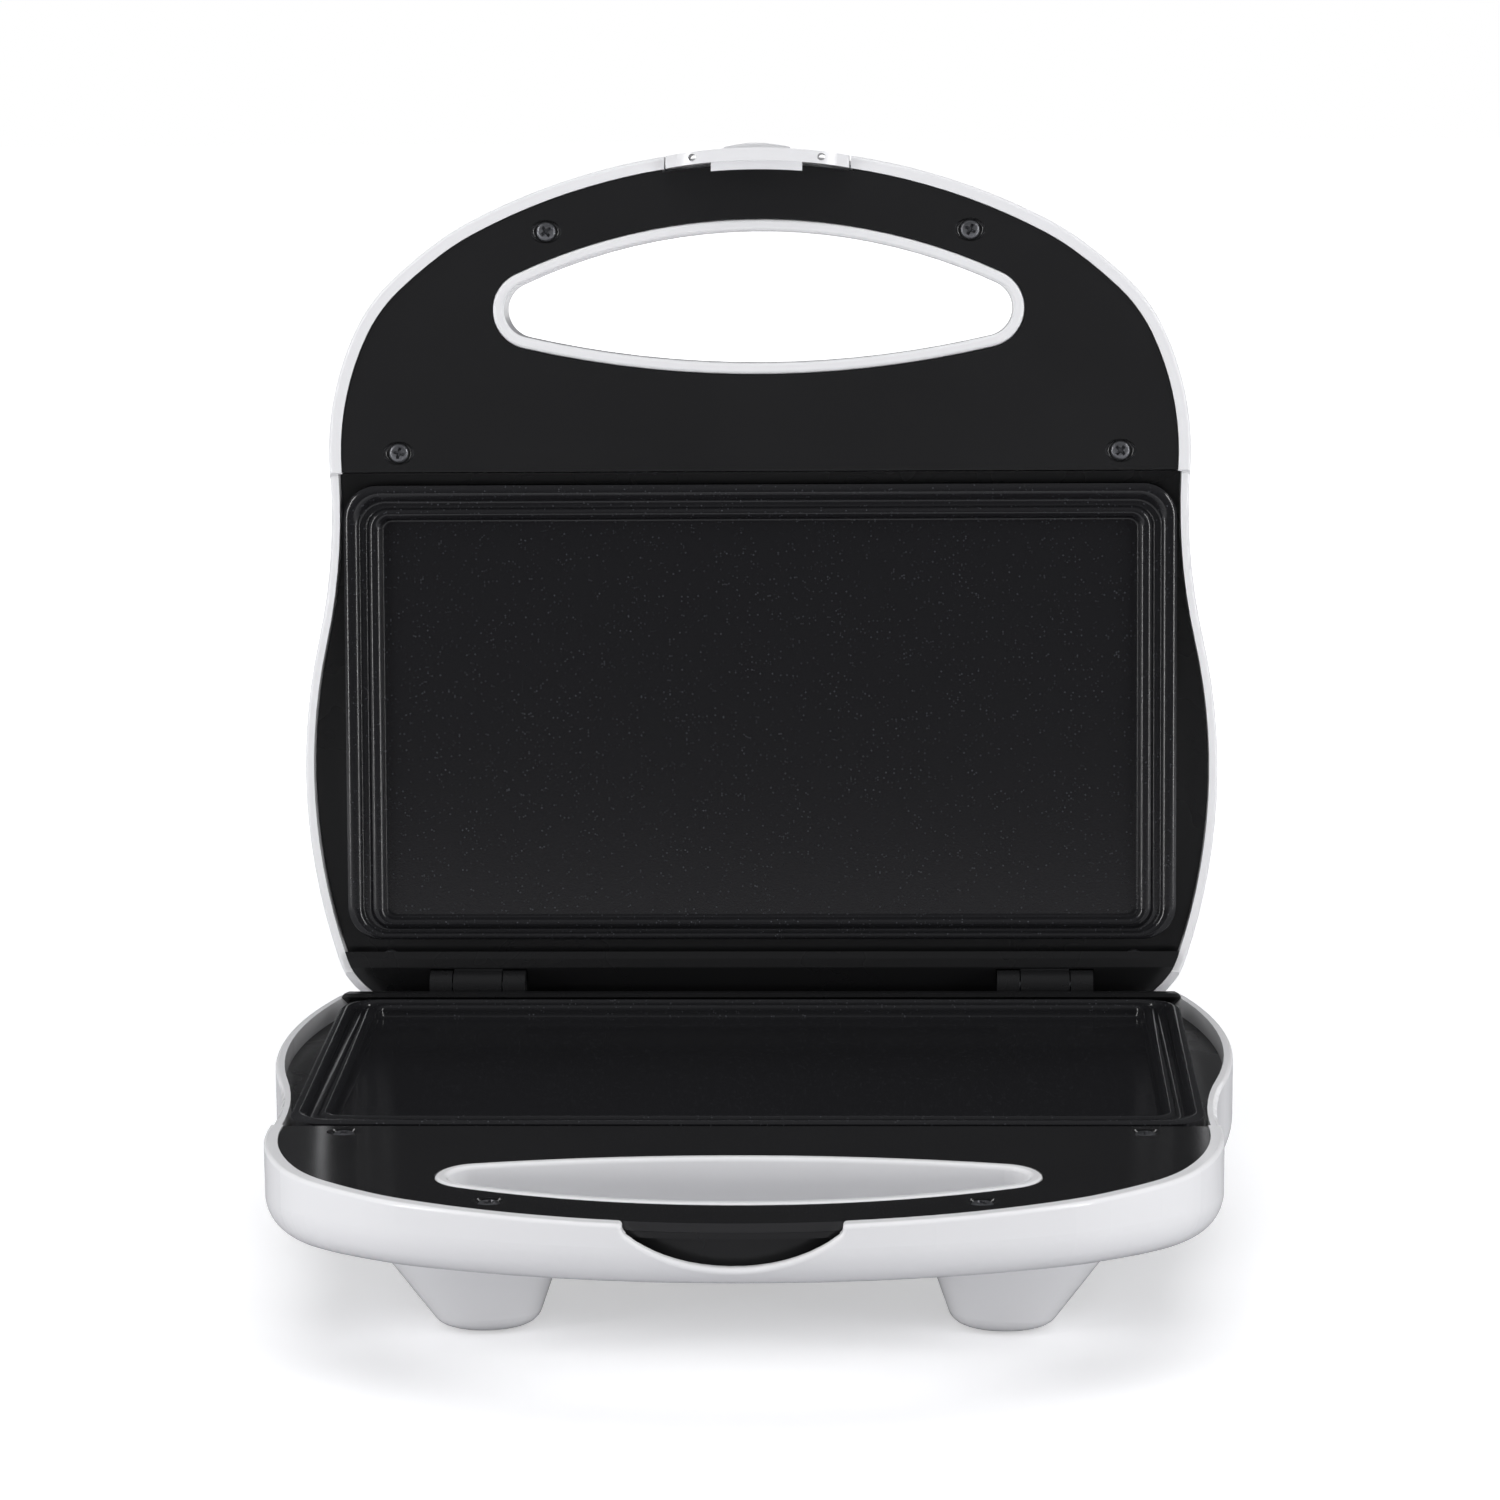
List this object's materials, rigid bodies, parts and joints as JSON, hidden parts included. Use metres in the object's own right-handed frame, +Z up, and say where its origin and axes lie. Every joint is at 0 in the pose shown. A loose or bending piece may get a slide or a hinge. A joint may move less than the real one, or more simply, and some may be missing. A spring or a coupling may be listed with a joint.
{
  "type": "sandwich maker",
  "caption": "Countertop sandwich maker standing open: a white clamshell with flat ribbed non-stick plates, oval finger holes through both handles, a snap latch and tapered feet.",
  "frame": {"origin": "on the surface that the foot pads stand on, at the middle of the open object's width and depth", "axes": "+Z up, -Y towards the handle and latch, +Y towards the hinge and the open lid, X along the hinge"},
  "size_m": [0.2442, 0.266, 0.2717],
  "materials": {
    "white_shell": "glossy white moulded polypropylene",
    "black_cover": "glossy black moulded phenolic",
    "black_frame": "satin black moulded phenolic",
    "non_stick": "cast aluminium with black non-stick coating",
    "dark_screw": "blackened steel",
    "bright_steel": "zinc-plated steel",
    "element_steel": "oxidised stainless tube",
    "tray_metal": "aluminised sheet",
    "pad_rubber": "soft grey rubber",
    "red_lens": "clear red plastic",
    "green_lens": "clear green plastic",
    "lamp_glass": "glass",
    "ceramic": "ceramic and nylon"
  },
  "bodies": {
    "base": {"base_bottom_screws": "bright_steel", "base_cover_screws": "dark_screw", "base_element": "element_steel", "base_element_clamps": "bright_steel", "base_frame": "black_frame", "base_handle_cover": "black_cover", "base_plate": "non_stick", "base_plate_screws": "bright_steel", "base_reflector": "tray_metal", "base_shell": "white_shell", "foot_pads": "pad_rubber", "hinge_pins": "bright_steel", "latch_catch": "black_frame", "terminal_block": "ceramic"},
    "lid": {"indicator_lamps": "lamp_glass", "latch_pin": "bright_steel", "lid_cover_screws": "dark_screw", "lid_element": "element_steel", "lid_element_clamps": "bright_steel", "lid_frame": "black_frame", "lid_frame_screws": "dark_screw", "lid_handle_cover": "black_cover", "lid_plate": "non_stick", "lid_plate_screws": "bright_steel", "lid_reflector": "tray_metal", "lid_shell": "white_shell", "power_lens": "red_lens", "ready_lens": "green_lens", "thermal_fuse": "bright_steel", "thermostat": "ceramic"},
    "latch": {"latch": "white_shell"}
  },
  "joints": [
    {"name": "lid_hinge", "type": "hinge", "parent": "base", "child": "lid", "pos_m": [0, 0.0896, 0.048], "axis": [1, 0, 0], "range_deg": [0, 96]},
    {"name": "latch_pivot", "type": "hinge", "parent": "lid", "child": "latch", "pos_m": [0, 0.11893, 0.26392], "axis": [-1, 0, 0], "range_deg": [0, 20]}
  ]
}
